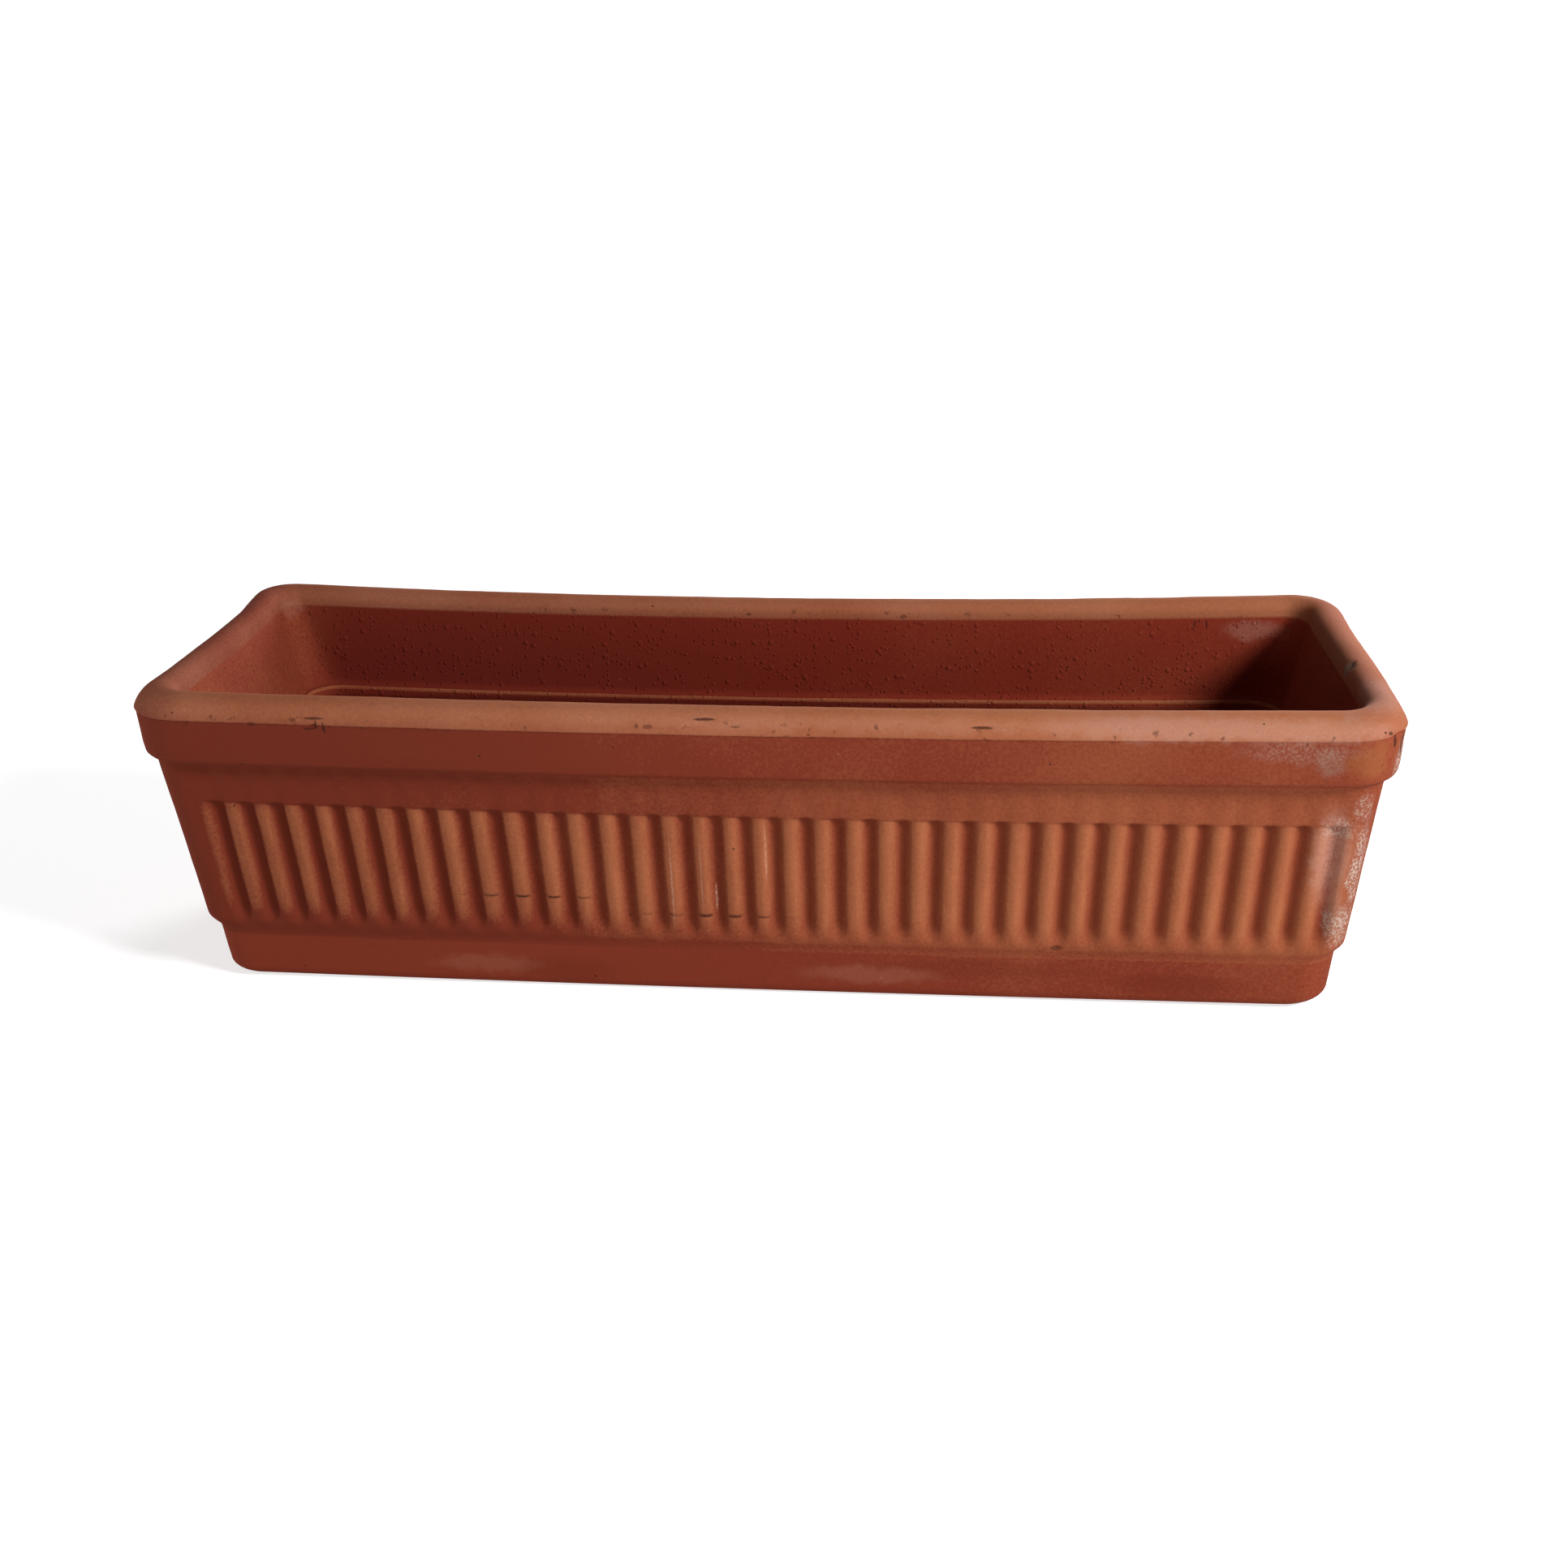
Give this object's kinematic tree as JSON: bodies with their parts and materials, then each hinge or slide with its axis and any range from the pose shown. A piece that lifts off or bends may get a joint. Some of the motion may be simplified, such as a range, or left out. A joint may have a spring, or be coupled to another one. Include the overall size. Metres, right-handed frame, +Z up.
{
  "type": "window box planter",
  "caption": "Long fired-clay trough with a heavy rolled collar rim, tapering walls with upright flutes, a plain foot band, a shelf inside and drain holes in the floor.",
  "frame": {"origin": "middle of the flat foot that the trough stands on", "axes": "+X along the length, -Y out of the front face, +Z up"},
  "size_m": [0.6, 0.19, 0.157],
  "materials": {
    "terracotta": "matt unglazed"
  },
  "bodies": {
    "root": {"clay_trough": "terracotta"}
  },
  "joints": []
}
